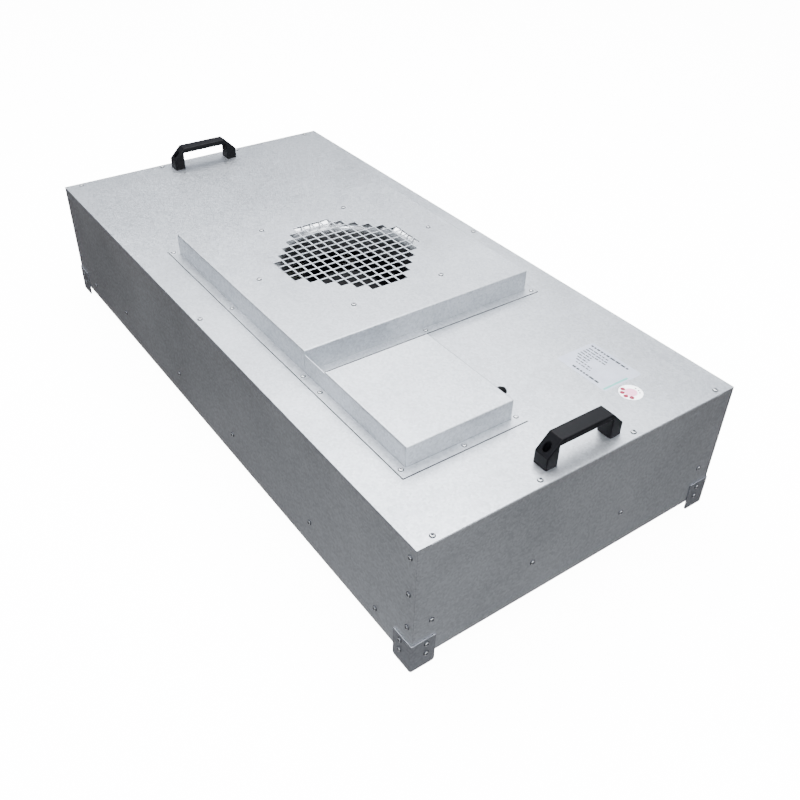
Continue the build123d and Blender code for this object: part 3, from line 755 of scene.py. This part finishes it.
softboxes = {
    "overheadSoftbox": {"place": (-0.5, 0.15, 2.5), "aim": (0, 0, 0.2), "size": 3.0, "power": 240.0,
                        "tone": "#FAFCFF"},
    "frontSoftbox": {"place": (2.4, -2.6, 1.5), "aim": (0, 0, 0.15), "size": 2.0, "power": 42.0,
                     "tone": "#FAFCFF"},
    "sideSoftbox": {"place": (2.8, 1.0, 2.1), "aim": (0, 0, 0.2), "size": 2.0, "power": 58.0,
                    "tone": "#FAFCFF"},
    "keySoftbox": {"place": (1.7, -1.0, 1.5), "aim": (0, 0, 0.2), "size": 0.5, "power": 17.0,
                   "tone": "#F0F6FF"},
}


def softbox(name, look):
    lamp = bpy.data.lights.new(name, "AREA")
    lamp.shape = "SQUARE"
    lamp.size = look["size"]
    lamp.energy = look["power"]
    lamp.color = linear(look["tone"])[:3]
    light = bpy.data.objects.new(name, lamp)
    bpy.context.scene.collection.objects.link(light)
    place = Vector(look["place"])
    aim = (Vector(look["aim"]) - place).to_track_quat("-Z", "Y")
    light.matrix_world = Matrix.Translation(place) @ aim.to_matrix().to_4x4()


# Matt white paint, which glows so that it stays white out to its edge from every side. Each point of the
# backdrop is its distance from the middle and its height.
stage = {
    "size": 18.0, "cells": 8, "backdrop": ((8.6, 0.001), (8.8, 0.3), (8.9, 1.0), (8.9, 8.0)), "sides": 64,
    "mottle": 900.0, "dark": "#F0F0EF", "light": "#F4F4F3", "rough": 0.9, "glow": 14.0,
}


def stagePiece(name, shape, material):
    mesh = bpy.data.meshes.new(name)
    shape.to_mesh(mesh)
    shape.free()
    mesh.materials.append(material)
    piece = bpy.data.objects.new(name, mesh)
    bpy.context.scene.collection.objects.link(piece)
    piece.visible_glossy = False
    piece.visible_diffuse = False
    return piece


# a floor inside a round backdrop of the same paint, which fills the view from low angles
def studioFloor(look):
    material, tree, surface, where = newMaterial("paintedFloor", {
        "Roughness": look["rough"], "Emission Color": linear(look["light"]),
        "Emission Strength": look["glow"]})
    mottle = addNode(
        tree, "ShaderNodeTexNoise", {"Scale": per(look["mottle"]), "Detail": 2.0}, {"Vector": where})
    colour = addNode(
        tree, "ShaderNodeValToRGB", links={"Fac": mottle.outputs["Fac"]}, stops=darkToLight(look))
    connect(tree, surface, {"Base Color": colour.outputs["Color"]})
    flat = bmesh.new()
    bmesh.ops.create_grid(
        flat, x_segments=look["cells"], y_segments=look["cells"], size=look["size"] / 2)
    stagePiece("studioFloor", flat, material)
    sheet = bmesh.new()
    joinRings(sheet, [[sheet.verts.new(p) for p in circleAt(reach, height, look["sides"])]
                      for reach, height in look["backdrop"]])
    stagePiece("studioBackdrop", sheet, material).visible_shadow = False


# bright overhead and dim under the horizon, so upright sheets read darker than flat ones
sky = {
    "stops": ((0.04, "#D0D3D7"), (0.26, "#5E5B5A"), (0.48, "#63605F"), (0.75, "#DAE2EE")),
    "level": 1.0,
}


def studioSky(look):
    world = bpy.data.worlds.new("studio")
    world.use_nodes = True
    bpy.context.scene.world = world
    tree = world.node_tree
    tree.nodes.clear()
    toward = addNode(tree, "ShaderNodeTexCoord").outputs["Generated"]
    height = addNode(tree, "ShaderNodeSeparateXYZ", links={"Vector": toward}).outputs["Z"]
    share = addNode(
        tree, "ShaderNodeMapRange", {"From Min": -1.0, "From Max": 1.0}, {"Value": height})
    shades = addNode(
        tree, "ShaderNodeValToRGB", links={"Fac": share.outputs["Result"]}, stops=look["stops"])
    glow = addNode(
        tree, "ShaderNodeBackground", {"Strength": look["level"]}, {"Color": shades.outputs["Color"]})
    addNode(tree, "ShaderNodeOutputWorld", links={"Surface": glow.outputs["Background"]})


studioFloor(stage)
studioSky(sky)
for name, look in softboxes.items():
    softbox(name, look)
print("studio lit")
